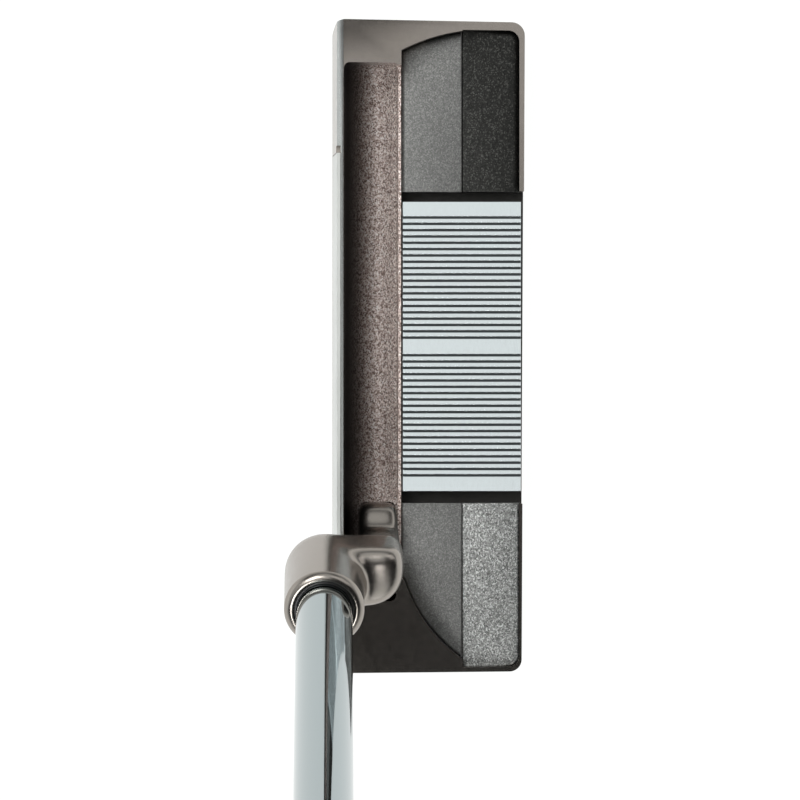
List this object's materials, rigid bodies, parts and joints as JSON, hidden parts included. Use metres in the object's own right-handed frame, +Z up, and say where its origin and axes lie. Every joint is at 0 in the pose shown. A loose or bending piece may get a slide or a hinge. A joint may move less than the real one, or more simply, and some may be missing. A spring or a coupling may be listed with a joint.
{
  "type": "mallet putter",
  "caption": "Right-handed golf putter: wide cast head with a grooved bright alignment insert, crank neck, chromed steel shaft and black grip.",
  "frame": {"origin": "middle of the flat sole, midway between toe and heel and near the middle from face to back", "axes": "+Z up from the sole; the face looks along -Y; the toe is at -X and the heel at +X; the shaft leans towards +X as it rises"},
  "size_m": [0.3919, 0.0508, 0.8157],
  "materials": {
    "bronze_body": "satin bronze finish on cast steel; sparkling bead-blasted trough",
    "strike_plate": "hard pale plate, smooth",
    "elastomer": "soft matt elastomer",
    "polished_aluminium": "polished and milled, with thin dark grooves",
    "blasted_plate": "fine blasted grey",
    "dark_texture": "dark grey with a coarse sparkling texture",
    "light_texture": "light grey with a coarse sparkling texture",
    "screw_steel": "turned steel",
    "sole_weight_steel": "turned and brushed steel",
    "black_plastic": "black moulded plastic",
    "epoxy": "cured amber epoxy",
    "shaft_chrome": "bright chrome plate on steel tube",
    "tape": "cream double-sided grip tape",
    "grip_foam": "charcoal foam underlisting",
    "grip_rubber": "matt black embossed grip"
  },
  "bodies": {
    "root": {"head_body": "bronze_body", "neck": "bronze_body", "face_insert": "strike_plate", "face_insert_core": "elastomer", "alignment_insert": "polished_aluminium", "toe_front_plate": "blasted_plate", "heel_front_plate": "blasted_plate", "toe_rear_weight": "dark_texture", "heel_rear_weight": "light_texture", "toe_plate_screw": "screw_steel", "heel_plate_screw": "screw_steel", "toe_weight_screw": "screw_steel", "heel_weight_screw": "screw_steel", "alignment_screw_toe": "screw_steel", "alignment_screw_heel": "screw_steel", "toe_sole_weight": "sole_weight_steel", "heel_sole_weight": "sole_weight_steel", "shaft_ferrule": "black_plastic", "shaft_bond": "epoxy", "shaft_tip_plug": "black_plastic", "shaft": "shaft_chrome", "grip_tape": "tape", "grip_underlisting": "grip_foam", "grip_wrap": "grip_rubber", "grip_end_cap": "grip_rubber"}
  },
  "joints": []
}
